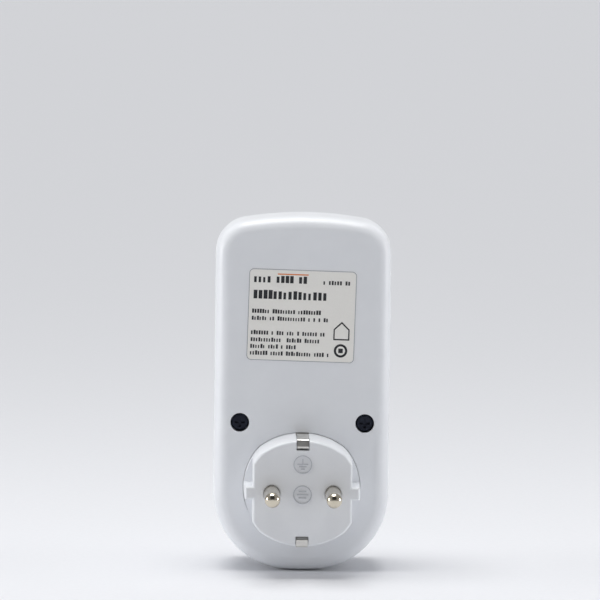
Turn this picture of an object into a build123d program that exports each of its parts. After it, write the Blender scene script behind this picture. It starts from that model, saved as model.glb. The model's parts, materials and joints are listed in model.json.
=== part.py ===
from build123d import *
import os
from math import sqrt

# Plug-in power meter, in millimetres.
# The origin is the middle of the plug's engagement face, between the two pins.
# +Y points into the wall socket, +Z points up along the case, and the display faces -Y.
# A depth is counted from the plug face towards the display, so depth d lies at y = -d.

os.makedirs("parts", exist_ok=True)

# Plug, to the two-pole round-pin standard with side earth contacts
pin_x = 9.5
pin_diameter = 4.8
pin_length = 19.0
pin_tip_radius = 2.2
pin_shoulder = 0.1
pin_neck_diameter = 4.4
pin_collar_diameter = 7.0
pin_tail_diameter = 4.0
pin_tail_end = 11.2
pin_hole_diameter = 4.9
pin_ring_diameter = 5.6
pin_ring_depth = 0.4

# Plug body: a round a little flattened at the earth contacts, with guide flats at its sides
body_radius = 18.2
crown_radius = 22.0
crown_centre = 5.1
body_draft = 0.35
body_face_wall = 2.5
body_edge_radius = 0.8
body_hole_clearance = 0.15
body_flange = 1.4
body_flange_thickness = 1.2
guide_flat_x = 15.4
guide_flat_end = 14.0
guide_rib_half = 2.0
guide_cut = 12.0
cavity_half_x = 13.4
cavity_half_z = 12.2
channel_width = 4.0
channel_floor = 15.9
channel_top = 17.5
pocket_bottom = 13.4
pocket_depth = 4.0

# Case
case_half_width = 27.5
case_top = 84.8
case_bottom = -26.8
top_arch_radius = 110.0
bottom_arch_radius = 55.0
top_corner_radius = 11.0
bottom_corner_radius = 24.0
wall = 2.0
rear_depth = 18.0
split_depth = 34.0
front_depth = 52.0
rear_draft = 0.4
front_draft = 2.3
rear_edge_radius = 4.2
front_edge_radius = 2.4
tongue_height = 1.4
tongue_inset = 1.1
tongue_clearance = 0.1
seam_chamfer = 0.35

# Case screws, sunk in the rear face
case_screw_x = 19.5
case_screw_z = 20.0
case_screw_spots = [(-case_screw_x, case_screw_z), (case_screw_x, case_screw_z)]
case_screw_recess = 5.9
case_screw_head = 5.6
case_screw_head_top = 19.2
case_screw_seat = 21.4
case_screw_shank = 2.8
case_screw_tip = 40.0
case_post_end = 30.0
rear_post_radius = 4.5
front_post_radius = 3.6
post_root = 0.5
thread_clearance = 0.02
power_post_radius = 2.8
power_post_hole = 0.95
display_post_radius = 1.9
display_post_hole = 0.82

# Socket well
well_radius = 19.5
well_wall = 1.8
well_floor = 38.5
well_floor_wall = 1.8
well_hole_clearance = 0.2
collar_radius = 22.4
collar_depth = 56.0
collar_outer_radius = 1.2
collar_inner_radius = 0.8
lug_x = 15.9
lug_near = 2.5
lug_far = 6.0
lug_start = 53.0
lug_root = 0.5
earth_slot_width = 5.4
earth_slot_height = 4.4
earth_slot_middle = 19.9
socket_hole_diameter = 5.4
socket_hole_leadin = 0.6
snap_wedge = (2.4, 4.0, 2.2)

# Display and its window
display_z = 56.5
bezel_width = 45.0
bezel_height = 41.0
bezel_corner = 3.0
bezel_seat = 50.8
bezel_front = 52.4
window_width = 40.8
window_height = 32.8
window_front = 51.8
window_corner = 1.0
view_width = 38.4
view_height = 30.4
lcd_width = 41.5
lcd_height = 34.5
lcd_rear = 46.2
lcd_front = 48.6
lcd_step = 47.4
lcd_frame_wall = 1.0
lcd_clearance = 0.1
lcd_contact_edge = 2.0
lcd_frame_front = 49.4

# Boards
board_thickness = 1.6
power_board_depth = 23.0
display_board_depth = 42.8
power_board_bottom = 25.6
display_board_bottom = 26.0
power_board_inset = 3.6
display_board_inset = 4.4
power_screw_spots = [(-19.5, 29.6), (19.5, 29.6), (-16.0, 75.5), (16.0, 75.5)]
display_screw_spots = [(-20.4, 34.8), (20.4, 34.8), (-12.0, 77.6), (12.0, 77.6)]

# Keys: name, x, z, turn in degrees. They follow a shallow arch under the display.
keys = [
    ("function", -16.2, 29.2, 8.0),
    ("up", -5.5, 31.0, 3.0),
    ("down", 5.5, 31.0, -3.0),
    ("cost", 16.2, 29.2, -8.0),
]
key_length = 9.0
key_width = 5.2
key_gap = 0.25
key_rim = 0.65
key_front = 53.1
key_rim_rear = 49.15
key_rim_front = 49.95
stem_diameter = 3.0
reset_z = 25.4
reset_hole_diameter = 2.4
reset_pin_diameter = 2.0
reset_pin_front = 51.5
reset_rim_diameter = 4.0
switch_size = 4.5
switch_top = 46.5
plunger_diameter = 2.6
plunger_front = 47.2
plunger_rear = 45.2

sheet_depth = 37.6
cell_rear = 38.6
cell_radius = 10.0

strap_width = 5.0
strap_thickness = 0.8
earth_strap_seat = 22.6
earth_strap_radius = 20.6
earth_strap_band = 3.4
earth_pad_z = 18.0
earth_pad_width = 5.2
earth_pad_height = 5.4
measured_strap_x = -4.6
measured_strap_width = 2.8
strap_seat = 9.5
carrier_plate_rear = 4.5

# Contact carrier behind the well's floor, and its screws
carrier_screw_z = 15.4
carrier_screw_shank = 2.0
carrier_screw_head = 3.8
carrier_screw_head_height = 1.5
carrier_front = 34.7
carrier_disc_rear = 32.2
carrier_block_rear = 21.4
carrier_radius = 17.6
well_post_height = 2.0
well_post_radius = 2.3
carrier_thread_depth = 1.3
contact_base = 18.2
contact_seat_height = 5.6
contact_thickness = 0.6
contact_width = 5.6
contact_bend = 0.6
carrier_block = (30.0, 12.0, 2.0)
carrier_pocket = (8.0, 6.4)

# Shutter over the socket's contacts
pivot_diameter = 3.0
pivot_height = 1.7
spring_seat_depth = 1.6
spring_seat_radius = 3.7
spring_radius = 2.7
spring_wire = 0.34
spring_pitch = 0.45
spring_height = 1.0
shutter_rear = 34.9
shutter_front = 36.5
shutter_reach = 12.9
shutter_hub_radius = 3.6
shutter_blade_half = 3.1

# Parts on the power board, each at (x, z)
power_screw = (4.2, 1.5, 1.86, 4.6)
power_screw_clearance_radius = 1.3
shunt_z = 29.0
shunt_rise = 4.5
shunt_thickness = 0.8
shunt_width = 4.0
mains_capacitor_at = (-10.5, 42.0)
mains_capacitor_size = (18.0, 8.5, 12.0)
varistor_at = (-14.5, 52.0)
varistor_radius = 5.0
varistor_lift = 7.0
varistor_thickness = 3.8
varistor_lead_half_pitch = 2.5
smoothing_cans = [(13.5, 42.5, 4.0, 11.5), (13.5, 52.3, 3.15, 11.0)]
can_groove_depth = 0.4
can_groove_height = 1.6
can_groove_width = 0.8
lead_diameter = 0.6
fuse_resistor_at = (6.5, 33.5)
diode_x = 4.2
diode_rows = (39.5, 43.5, 47.5)
chip_at = (-1.0, 64.5)
chip_size = (15.4, 7.5, 2.3)
chip_lift = 0.3
chip_leg_pitch = 1.27
chip_legs_per_side = 12
chip_leg_width = 0.44
chip_leg_thickness = 0.26
header_at = (14.5, 64.0)
header_pitch = 2.54
header_ways = 6
header_bar = 2.5
header_pin = 0.64

# Parts on the display board, each at (x, z)
display_screw = (3.6, 1.3, 1.6, 5.6)
display_screw_clearance_radius = 1.15
reset_tab = (14.0, 4.0)
display_chip_at = (-8.0, 37.0)
display_chip_radius = 6.0
display_chip_height = 1.6
crystal_x = 2.0
crystal_z = 34.0
crystal_radius = 1.05
crystal_length = 6.0
cell_at = (-7.0, 61.0)
cell_holder_wall = 1.2
cell_holder_floor = 0.8
cell_clearance = 0.15
cell_step = 0.4
cell_height = 3.0
sheet_thickness = 0.3
sheet_inset = 0.4

# Rating label
label_centre = (0.6, 53.6)
label_turn = 1.4
label_width = 33.6
label_height = 28.7
label_corner = 1.5
label_thickness = 0.12


def level(depth):
    """Plane at a depth, facing the display, with local x along X and local y along Z."""
    return Plane.XZ.offset(depth)


def rise(radius, half_chord):
    """Height of an arc over its chord."""
    return radius - sqrt(radius**2 - half_chord**2)


def case_outline(inset):
    """Case outline at the parting line, drawn a constant distance inside its edge."""
    half = case_half_width - inset
    top = case_top - inset
    bottom = case_bottom + inset
    shoulder = top - rise(top_arch_radius - inset, half)
    hip = bottom + rise(bottom_arch_radius - inset, half)
    with BuildSketch(Plane.XY, mode=Mode.PRIVATE) as outline:
        with BuildLine():
            right = Line((half, hip), (half, shoulder))
            ThreePointArc(right @ 1, (0, top), (-half, shoulder))
            left = Line((-half, shoulder), (-half, hip))
            ThreePointArc(left @ 1, (0, bottom), right @ 0)
        make_face()
        fillet(outline.vertices().group_by(Axis.Y)[-1], top_corner_radius - inset)
        fillet(outline.vertices().group_by(Axis.Y)[0], bottom_corner_radius - inset)
    return outline.sketch


def plug_outline(inset):
    """Section of the plug body across its pins."""
    with BuildSketch(Plane.XY, mode=Mode.PRIVATE) as outline:
        Circle(body_radius - inset)
        with Locations((0, -crown_centre)):
            Circle(crown_radius - inset, mode=Mode.INTERSECT)
        with Locations((0, crown_centre)):
            Circle(crown_radius - inset, mode=Mode.INTERSECT)
    return outline.sketch


def board_outline(inset, bottom):
    """Board shape: the case outline, drawn in and cut off straight above the socket."""
    with BuildSketch(Plane.XY, mode=Mode.PRIVATE) as outline:
        add(case_outline(inset))
        with Locations((0, bottom)):
            Rectangle(
                2 * case_half_width,
                case_top,
                align=(Align.CENTER, Align.MIN),
                mode=Mode.INTERSECT,
            )
    return outline.sketch


# Rear shell: a drafted tub, with a hole that the plug body comes out of
with BuildPart() as rear_shell:
    with BuildSketch(level(split_depth)):
        add(case_outline(0))
    with BuildSketch(level(rear_depth)):
        add(case_outline(rear_draft))
    loft()
    fillet(rear_shell.faces().sort_by(Axis.Y)[-1].edges(), rear_edge_radius)
    chamfer(rear_shell.faces().sort_by(Axis.Y)[0].edges(), seam_chamfer)
    # Inside of the tub, and the hole for the plug body
    with BuildSketch(level(split_depth)):
        add(case_outline(wall))
    with BuildSketch(level(rear_depth + wall)):
        add(case_outline(rear_draft + wall))
    loft(mode=Mode.SUBTRACT)
    with BuildSketch(level(rear_depth)):
        add(plug_outline(-body_hole_clearance))
    extrude(amount=wall, mode=Mode.SUBTRACT)

    # Tongue that enters the front shell
    with BuildSketch(level(split_depth)):
        add(case_outline(tongue_inset))
        add(case_outline(wall), mode=Mode.SUBTRACT)
    extrude(amount=tongue_height)
    with BuildSketch(level(split_depth - 2)):
        add(case_outline(tongue_inset))
        add(case_outline(wall + 0.1), mode=Mode.SUBTRACT)
    extrude(amount=2)

    # Screw posts and board posts
    with BuildSketch(level(rear_depth + post_root)):
        with Locations(*case_screw_spots):
            Circle(rear_post_radius)
    extrude(amount=case_post_end - rear_depth - post_root)
    with BuildSketch(level(rear_depth + post_root)):
        with Locations(*power_screw_spots):
            Circle(power_post_radius)
    extrude(amount=power_board_depth - rear_depth - post_root)
    with BuildSketch(level(rear_depth + 2 * post_root)):
        with Locations(*power_screw_spots):
            Circle(power_post_hole)
    extrude(amount=power_board_depth, mode=Mode.SUBTRACT)
    with Locations(level(rear_depth)):
        with Locations(*case_screw_spots):
            Cylinder(
                case_screw_recess / 2,
                case_screw_seat - rear_depth,
                align=(Align.CENTER, Align.CENTER, Align.MIN),
                mode=Mode.SUBTRACT,
            )
            Cylinder(
                case_screw_shank / 2 + 0.2,
                case_post_end,
                align=(Align.CENTER, Align.CENTER, Align.MIN),
                mode=Mode.SUBTRACT,
            )
rear_shell.part.label = "rear_shell"
export_step(rear_shell.part, "parts/rear_shell.step")

# Plug body: a cup that comes out through the rear shell, held by a flange behind its wall
with BuildPart() as plug_body:
    with BuildSketch(level(0)):
        add(plug_outline(body_draft))
    with BuildSketch(level(rear_depth)):
        add(plug_outline(0))
    loft()
    with BuildSketch(level(rear_depth)):
        add(plug_outline(0))
    extrude(amount=wall)

    # Guide flats beside the central rib of each side
    with BuildSketch(level(0)):
        with GridLocations(2 * (guide_flat_x + guide_cut / 2), 2 * guide_rib_half + guide_cut, 2, 2):
            Rectangle(guide_cut, guide_cut)
    extrude(amount=guide_flat_end, mode=Mode.SUBTRACT)
    fillet(plug_body.faces().sort_by(Axis.Y)[-1].edges(), body_edge_radius)

    with BuildSketch(level(rear_depth + wall)):
        add(plug_outline(-body_flange))
    extrude(amount=body_flange_thickness)
    with BuildSketch(level(body_face_wall)):
        add(plug_outline(wall))
        Rectangle(2 * cavity_half_x, 2 * cavity_half_z, mode=Mode.INTERSECT)
    extrude(amount=split_depth, mode=Mode.SUBTRACT)

    # Channels and pockets of the earth clips, top and bottom
    for depth, bottom in ((split_depth, channel_floor), (pocket_depth, pocket_bottom)):
        with BuildSketch(level(0)):
            with Locations((0, bottom)):
                Rectangle(channel_width, channel_top - bottom, align=(Align.CENTER, Align.MIN))
            with Locations((0, -bottom)):
                Rectangle(channel_width, channel_top - bottom, align=(Align.CENTER, Align.MAX))
        extrude(amount=depth, mode=Mode.SUBTRACT)

    # Pin holes, each in a shallow ring
    for diameter, depth in ((pin_hole_diameter, body_face_wall), (pin_ring_diameter, pin_ring_depth)):
        with BuildSketch(level(0)):
            with Locations((-pin_x, 0), (pin_x, 0)):
                Circle(diameter / 2)
        extrude(amount=depth, mode=Mode.SUBTRACT)
plug_body.part.label = "plug_body"
export_step(plug_body.part, "parts/plug_body.step")

# Front shell: tapers towards the display
with BuildPart() as front_shell:
    with BuildSketch(level(split_depth)):
        add(case_outline(0))
    with BuildSketch(level(front_depth)):
        add(case_outline(front_draft))
    loft()
    fillet(front_shell.faces().sort_by(Axis.Y)[0].edges(), front_edge_radius)
    chamfer(front_shell.faces().sort_by(Axis.Y)[-1].edges(), seam_chamfer)
    with BuildSketch(level(split_depth)):
        add(case_outline(wall))
    with BuildSketch(level(front_depth - wall)):
        add(case_outline(front_draft + wall))
    loft(mode=Mode.SUBTRACT)

    # Rebate for the rear shell's tongue
    with BuildSketch(level(split_depth)):
        add(case_outline(tongue_inset - tongue_clearance))
    extrude(amount=tongue_height + tongue_clearance, mode=Mode.SUBTRACT)

    # Posts that take the case screws and the display board
    with BuildSketch(level(case_post_end + 0.1)):
        with Locations(*case_screw_spots):
            Circle(front_post_radius)
    extrude(amount=front_depth - case_post_end - 1)
    with BuildSketch(level(display_board_depth + board_thickness)):
        with Locations(*display_screw_spots):
            Circle(display_post_radius)
    extrude(amount=front_depth - display_board_depth - board_thickness - 1)
    with BuildSketch(level(case_post_end)):
        with Locations(*case_screw_spots):
            Circle(case_screw_shank / 2 + thread_clearance)
    extrude(amount=case_screw_tip - case_post_end + 1, mode=Mode.SUBTRACT)
    with BuildSketch(level(display_board_depth)):
        with Locations(*display_screw_spots):
            Circle(display_post_hole)
    extrude(amount=front_depth - display_board_depth - 3, mode=Mode.SUBTRACT)

    # Openings for the socket well, display, keys and reset pin
    with BuildSketch(level(split_depth)):
        Circle(well_radius + well_wall + well_hole_clearance)
        with Locations((0, display_z)):
            RectangleRounded(view_width + 0.6, view_height + 0.6, window_corner)
        for _, x, z, turn in keys:
            with Locations(Location((x, z), turn)):
                SlotOverall(key_length + 2 * key_gap, key_width + 2 * key_gap)
        with Locations((0, reset_z)):
            Circle(reset_hole_diameter / 2)
    extrude(amount=front_depth, mode=Mode.SUBTRACT)
    with BuildSketch(level(bezel_seat)):
        with Locations((0, display_z)):
            RectangleRounded(bezel_width + 0.1, bezel_height + 0.1, bezel_corner + 0.05)
    extrude(amount=wall, mode=Mode.SUBTRACT)
front_shell.part.label = "front_shell"
export_step(front_shell.part, "parts/front_shell.step")

# Socket well: a cup with a collar, guide lugs, earth slots and pin holes
with BuildPart() as socket_well:
    with BuildSketch(level(well_floor - well_floor_wall)):
        Circle(well_radius + well_wall)
    extrude(amount=front_depth - well_floor + well_floor_wall + 1)
    with BuildSketch(level(front_depth)):
        Circle(collar_radius)
    extrude(amount=collar_depth - front_depth)
    fillet(socket_well.faces().sort_by(Axis.Y)[0].edges(), collar_outer_radius)
    with BuildSketch(level(well_floor)):
        Circle(well_radius)
    extrude(amount=collar_depth, mode=Mode.SUBTRACT)
    collar_edges = socket_well.edges().filter_by_position(Axis.Y, -collar_depth, -collar_depth)
    fillet(collar_edges.sort_by(SortBy.LENGTH)[0], collar_inner_radius)

    # Two pairs of lugs, each pair straddling the plug's side rib
    with BuildSketch(level(well_floor - lug_root)):
        Circle(well_radius + lug_root)
        with BuildSketch(mode=Mode.PRIVATE) as lug_sides:
            with GridLocations(lug_x + well_radius + well_wall, lug_near + lug_far, 2, 2):
                Rectangle(well_radius + well_wall - lug_x, lug_far - lug_near)
        add(lug_sides.sketch, mode=Mode.INTERSECT)
    extrude(amount=lug_start - well_floor + lug_root)

    # Slots for the earth clips
    with BuildSketch(level(well_floor - well_floor_wall)):
        with Locations((0, earth_slot_middle), (0, -earth_slot_middle)):
            Rectangle(earth_slot_width, earth_slot_height)
    extrude(amount=lug_start + 1.2 - well_floor + well_floor_wall, mode=Mode.SUBTRACT)

    # Pin holes with a lead-in, and the posts for the contact carrier
    with BuildSketch(level(well_floor - well_floor_wall)):
        with Locations((0, carrier_screw_z), (0, -carrier_screw_z)):
            Circle(well_post_radius)
    extrude(amount=-well_post_height)
    with BuildSketch(level(well_floor - well_floor_wall - well_post_height)):
        with Locations((0, carrier_screw_z), (0, -carrier_screw_z)):
            Circle(carrier_screw_shank / 2 + thread_clearance)
    extrude(amount=well_post_height + carrier_thread_depth, mode=Mode.SUBTRACT)
    with Locations(level(well_floor)):
        with Locations((-pin_x, 0, 0), (pin_x, 0, 0)):
            Cylinder(socket_hole_diameter / 2, 3 * well_floor_wall, mode=Mode.SUBTRACT)
            Cone(
                socket_hole_diameter / 2,
                socket_hole_diameter / 2 + socket_hole_leadin,
                socket_hole_leadin,
                align=(Align.CENTER, Align.CENTER, Align.MAX),
                mode=Mode.SUBTRACT,
            )

    # Snap wedges that hold the well behind the front face
    with BuildSketch(level(front_depth - wall - 0.1)):
        with PolarLocations(well_radius + well_wall - 0.3, 4, start_angle=45):
            Rectangle(snap_wedge[0], snap_wedge[1])
    extrude(amount=-snap_wedge[2])
socket_well.part.label = "socket_well"
export_step(socket_well.part, "parts/socket_well.step")

# Display bezel: a frame set into the front, with a lip over the window
with BuildPart() as display_bezel:
    with BuildSketch(level(bezel_seat)):
        with Locations((0, display_z)):
            RectangleRounded(bezel_width, bezel_height, bezel_corner)
    extrude(amount=bezel_front - bezel_seat)
    fillet(display_bezel.faces().sort_by(Axis.Y)[0].edges(), 0.5)
    with BuildSketch(level(bezel_seat)):
        with Locations((0, display_z)):
            RectangleRounded(window_width + 0.2, window_height + 0.2, window_corner)
    extrude(amount=window_front - bezel_seat, mode=Mode.SUBTRACT)
    with BuildSketch(level(window_front)):
        with Locations((0, display_z)):
            RectangleRounded(view_width, view_height, window_corner)
    extrude(amount=wall, mode=Mode.SUBTRACT)
display_bezel.part.label = "display_bezel"
export_step(display_bezel.part, "parts/display_bezel.step")

with BuildPart() as display_window:
    with BuildSketch(level(bezel_seat)):
        with Locations((0, display_z)):
            RectangleRounded(window_width, window_height, window_corner)
    extrude(amount=window_front - bezel_seat)
display_window.part.label = "display_window"
export_step(display_window.part, "parts/display_window.step")

# Rating label, stuck a little askew on the rear face
with BuildPart() as rating_label:
    with BuildSketch(level(rear_depth)):
        with Locations(Location(label_centre, label_turn)):
            RectangleRounded(label_width, label_height, label_corner)
    extrude(amount=-label_thickness)
rating_label.part.label = "rating_label"
export_step(rating_label.part, "parts/rating_label.step")


def pan_screws(spots, seat, head_diameter, head_height, shank_diameter, length, away):
    """Pan-head screws with a cross recess; away is +1 when the shank runs to greater depth."""
    with BuildPart(mode=Mode.PRIVATE) as screws:
        with BuildSketch(level(seat)):
            with Locations(*spots):
                Circle(head_diameter / 2)
        extrude(amount=-away * head_height)
        crown = screws.faces().sort_by(Axis.Y)
        tops = crown[-len(spots):] if away > 0 else crown[:len(spots)]
        fillet(tops.edges(), head_height * 0.4)
        with BuildSketch(level(seat)):
            with Locations(*spots):
                Circle(shank_diameter / 2)
        extrude(amount=away * length)
        with BuildSketch(level(seat - away * head_height)):
            with Locations(*spots):
                Rectangle(head_diameter * 0.56, head_diameter * 0.14)
                Rectangle(head_diameter * 0.14, head_diameter * 0.56)
        extrude(amount=away * head_height * 0.6, mode=Mode.SUBTRACT)
    return screws.part


with BuildPart() as case_screws:
    add(
        pan_screws(
            case_screw_spots,
            case_screw_seat,
            case_screw_head,
            case_screw_seat - case_screw_head_top,
            case_screw_shank,
            case_screw_tip - case_screw_seat,
            1,
        )
    )
case_screws.part.label = "case_screws"
export_step(case_screws.part, "parts/case_screws.step")

# Plug pins: a nickel-plated pin, a collar behind the face and a riveted tail
for pin_name, x in (("plug_pin_live", -pin_x), ("plug_pin_neutral", pin_x)):
    with BuildPart() as plug_pin:
        with BuildSketch(level(-pin_shoulder)):
            with Locations((x, 0)):
                Circle(pin_diameter / 2)
        extrude(amount=pin_shoulder - pin_length)
        fillet(plug_pin.faces().sort_by(Axis.Y)[-1].edges(), pin_tip_radius)
        with BuildSketch(level(-pin_shoulder)):
            with Locations((x, 0)):
                Circle(pin_neck_diameter / 2)
        extrude(amount=body_face_wall + pin_shoulder)
        with BuildSketch(level(body_face_wall)):
            with Locations((x, 0)):
                Circle(pin_collar_diameter / 2)
        extrude(amount=carrier_plate_rear - body_face_wall)
        with BuildSketch(level(carrier_plate_rear)):
            with Locations((x, 0)):
                Circle(pin_tail_diameter / 2)
        extrude(amount=pin_tail_end - carrier_plate_rear)
    plug_pin.part.label = pin_name
    export_step(plug_pin.part, f"parts/{pin_name}.step")

# Pin carrier: an insulating block that clamps the pins' collars against the plug face
with BuildPart() as pin_carrier:
    with BuildSketch(level(carrier_plate_rear)):
        add(plug_outline(wall + 0.15))
        Rectangle(2 * cavity_half_x - 0.3, 2 * cavity_half_z - 0.3, mode=Mode.INTERSECT)
        with Locations((-pin_x, 0), (pin_x, 0)):
            Circle(pin_tail_diameter / 2 + 0.05, mode=Mode.SUBTRACT)
    extrude(amount=strap_seat - carrier_plate_rear)
pin_carrier.part.label = "pin_carrier"
export_step(pin_carrier.part, "parts/pin_carrier.step")


def bent_strip(route, x, width, thickness, radius=0.8):
    """Strip bent along a route of (depth, z) points in the plane across X, at a place along X."""
    points = [(-depth, z) for depth, z in route]
    with BuildPart(mode=Mode.PRIVATE) as strip:
        with BuildSketch(Plane.YZ.offset(x)):
            with BuildLine():
                FilletPolyline(*points, radius=radius)
            trace(line_width=thickness)
        extrude(amount=width / 2, both=True)
    return strip.part


# Earth clips of the plug: a strip that bows out along the channel and hooks into the pocket
clip_thickness = 0.7
plug_clip_width = 3.6
plug_clip_bend = 0.5
plug_clip_route = [
    (earth_strap_seat, 16.4),
    (17.0, 16.4),
    (9.0, 17.1),
    (1.0, 16.5),
    (0.6, 14.1),
    (3.2, 13.9),
]
for clip_name, side in (("plug_earth_clip_top", 1), ("plug_earth_clip_bottom", -1)):
    clip_route = [(depth, side * z) for depth, z in plug_clip_route]
    with BuildPart() as plug_earth_clip:
        add(bent_strip(clip_route, 0, plug_clip_width, clip_thickness, plug_clip_bend))
    plug_earth_clip.part.label = clip_name
    export_step(plug_earth_clip.part, f"parts/{clip_name}.step")

# Earth clips of the socket: each bulges into the well through its slot
socket_clip_width = 4.8
socket_clip_bend = 1.0
socket_clip_route = [
    (earth_strap_seat + strap_thickness, 20.2),
    (39.5, 20.2),
    (42.0, 19.6),
    (46.5, 17.3),
    (51.5, 19.4),
    (53.4, 20.2),
]
for clip_name, side in (("socket_earth_clip_top", 1), ("socket_earth_clip_bottom", -1)):
    clip_route = [(depth, side * z) for depth, z in socket_clip_route]
    with BuildPart() as socket_earth_clip:
        add(bent_strip(clip_route, 0, socket_clip_width, clip_thickness, socket_clip_bend))
    socket_earth_clip.part.label = clip_name
    export_step(socket_earth_clip.part, f"parts/{clip_name}.step")

# Earth strap: a flat C that joins all four clips round the live parts
with BuildPart() as earth_strap:
    with BuildSketch(level(earth_strap_seat)):
        Circle(earth_strap_radius)
        Circle(earth_strap_radius - earth_strap_band, mode=Mode.SUBTRACT)
        with Locations((-earth_pad_width / 2, 0)):
            Rectangle(
                2 * earth_strap_radius,
                2 * earth_strap_radius,
                align=(Align.MAX, Align.CENTER),
                mode=Mode.SUBTRACT,
            )
        with Locations((0, earth_pad_z), (0, -earth_pad_z)):
            Rectangle(earth_pad_width, earth_pad_height)
    extrude(amount=strap_thickness)
earth_strap.part.label = "earth_strap"
export_step(earth_strap.part, "parts/earth_strap.step")

# Supply straps. The neutral one runs straight on to the socket, the live one goes by way of the board.
board_rear_strap = power_board_depth - strap_thickness / 2
strap_climb = 21.8
strap_bend_z = 10.0
neutral_route = [
    (contact_base - strap_thickness / 2, 3.0),
    (contact_base - strap_thickness / 2, -8.0),
    (strap_seat + strap_thickness / 2, -8.0),
    (strap_seat + strap_thickness / 2, strap_bend_z),
    (strap_climb, strap_bend_z),
    (strap_climb, 24.6),
    (board_rear_strap, 26.4),
    (board_rear_strap, 32.0),
]
with BuildPart() as neutral_strap:
    add(bent_strip(neutral_route, pin_x, strap_width, strap_thickness))
    with BuildSketch(level(strap_seat)):
        with Locations((pin_x, 0)):
            Circle(pin_tail_diameter / 2 + thread_clearance)
    extrude(amount=2 * strap_thickness, mode=Mode.SUBTRACT)
neutral_strap.part.label = "neutral_strap"
export_step(neutral_strap.part, "parts/neutral_strap.step")

live_route = [(strap_seat + strap_thickness / 2, -3.4)] + neutral_route[3:]
with BuildPart() as live_strap:
    add(bent_strip(live_route, -pin_x, strap_width, strap_thickness))
    with BuildSketch(level(strap_seat)):
        with Locations((-pin_x, 0)):
            Circle(pin_tail_diameter / 2 + thread_clearance)
    extrude(amount=2 * strap_thickness, mode=Mode.SUBTRACT)
live_strap.part.label = "live_strap"
export_step(live_strap.part, "parts/live_strap.step")

measured_route = [
    (contact_base - strap_thickness / 2, -2.8),
    (contact_base - strap_thickness / 2, strap_bend_z),
] + neutral_route[4:]
with BuildPart() as measured_live_strap:
    add(bent_strip(measured_route, measured_strap_x, measured_strap_width, strap_thickness))
    with BuildSketch(level(contact_base - strap_thickness)):
        with Locations((-pin_x, 0)):
            Rectangle(strap_width, contact_seat_height)
        with Locations(((measured_strap_x - pin_x) / 2, 0)):
            Rectangle(pin_x + measured_strap_x, contact_seat_height)
    extrude(amount=strap_thickness)
measured_live_strap.part.label = "measured_live_strap"
export_step(measured_live_strap.part, "parts/measured_live_strap.step")

# Socket contacts: two sprung leaves that grip an inserted pin
leaf_route = [
    (-3.3, contact_base + 14.6),
    (-2.9, contact_base + 12.6),
    (-3.4, contact_base + 8.0),
    (-3.4, contact_base + 0.3),
    (3.4, contact_base + 0.3),
    (3.4, contact_base + 8.0),
    (2.9, contact_base + 12.6),
    (3.3, contact_base + 14.6),
]
for contact_name, x in (("socket_contact_live", -pin_x), ("socket_contact_neutral", pin_x)):
    with BuildPart() as socket_contact:
        with BuildSketch(Plane.XY):
            with BuildLine():
                leaf_points = [(x + across, -depth) for across, depth in leaf_route]
                FilletPolyline(*leaf_points, radius=contact_bend)
            trace(line_width=contact_thickness)
        extrude(amount=contact_width / 2, both=True)
    socket_contact.part.label = contact_name
    export_step(socket_contact.part, f"parts/{contact_name}.step")

# Contact carrier: a disc with a block behind it, pocketed for the two contacts
with BuildPart() as contact_carrier:
    with BuildSketch(level(carrier_disc_rear)):
        Circle(carrier_radius)
    extrude(amount=carrier_front - carrier_disc_rear)
    with BuildSketch(level(carrier_block_rear)):
        RectangleRounded(*carrier_block)
    extrude(amount=carrier_disc_rear - carrier_block_rear)
    with BuildSketch(level(carrier_block_rear)):
        with Locations((-pin_x, 0), (pin_x, 0)):
            Rectangle(*carrier_pocket)
    extrude(amount=carrier_front, mode=Mode.SUBTRACT)
    with BuildSketch(level(carrier_disc_rear)):
        with Locations((0, carrier_screw_z), (0, -carrier_screw_z)):
            Circle(carrier_screw_shank / 2 + 0.2)
    extrude(amount=carrier_front, mode=Mode.SUBTRACT)

    # Spring seat and pivot of the shutter
    with BuildSketch(level(carrier_front)):
        Circle(spring_seat_radius)
        Circle(pivot_diameter / 2, mode=Mode.SUBTRACT)
    extrude(amount=-spring_seat_depth, mode=Mode.SUBTRACT)
    with BuildSketch(level(carrier_front)):
        Circle(pivot_diameter / 2)
    extrude(amount=pivot_height)
contact_carrier.part.label = "contact_carrier"
export_step(contact_carrier.part, "parts/contact_carrier.step")

with BuildPart() as carrier_screws:
    add(
        pan_screws(
            [(0, carrier_screw_z), (0, -carrier_screw_z)],
            carrier_disc_rear,
            carrier_screw_head,
            carrier_screw_head_height,
            carrier_screw_shank,
            well_floor - well_floor_wall + 1.0 - carrier_disc_rear,
            1,
        )
    )
carrier_screws.part.label = "carrier_screws"
export_step(carrier_screws.part, "parts/carrier_screws.step")

# Shutter: a rotor whose two blades stand in front of the contacts until a plug turns it aside
with BuildPart() as shutter_rotor:
    with BuildSketch(level(shutter_rear)):
        Circle(shutter_hub_radius)
        Rectangle(2 * shutter_reach, 2 * shutter_blade_half)
        with BuildSketch(mode=Mode.PRIVATE) as blade_ends:
            Circle(shutter_reach)
        add(blade_ends.sketch, mode=Mode.INTERSECT)
        Circle(pivot_diameter / 2 + 0.06, mode=Mode.SUBTRACT)
    extrude(amount=shutter_front - shutter_rear)
    fillet(shutter_rotor.edges().filter_by(Axis.Y).group_by(SortBy.DISTANCE)[-1], 0.5)
shutter_rotor.part.label = "shutter_rotor"
export_step(shutter_rotor.part, "parts/shutter_rotor.step")

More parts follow.
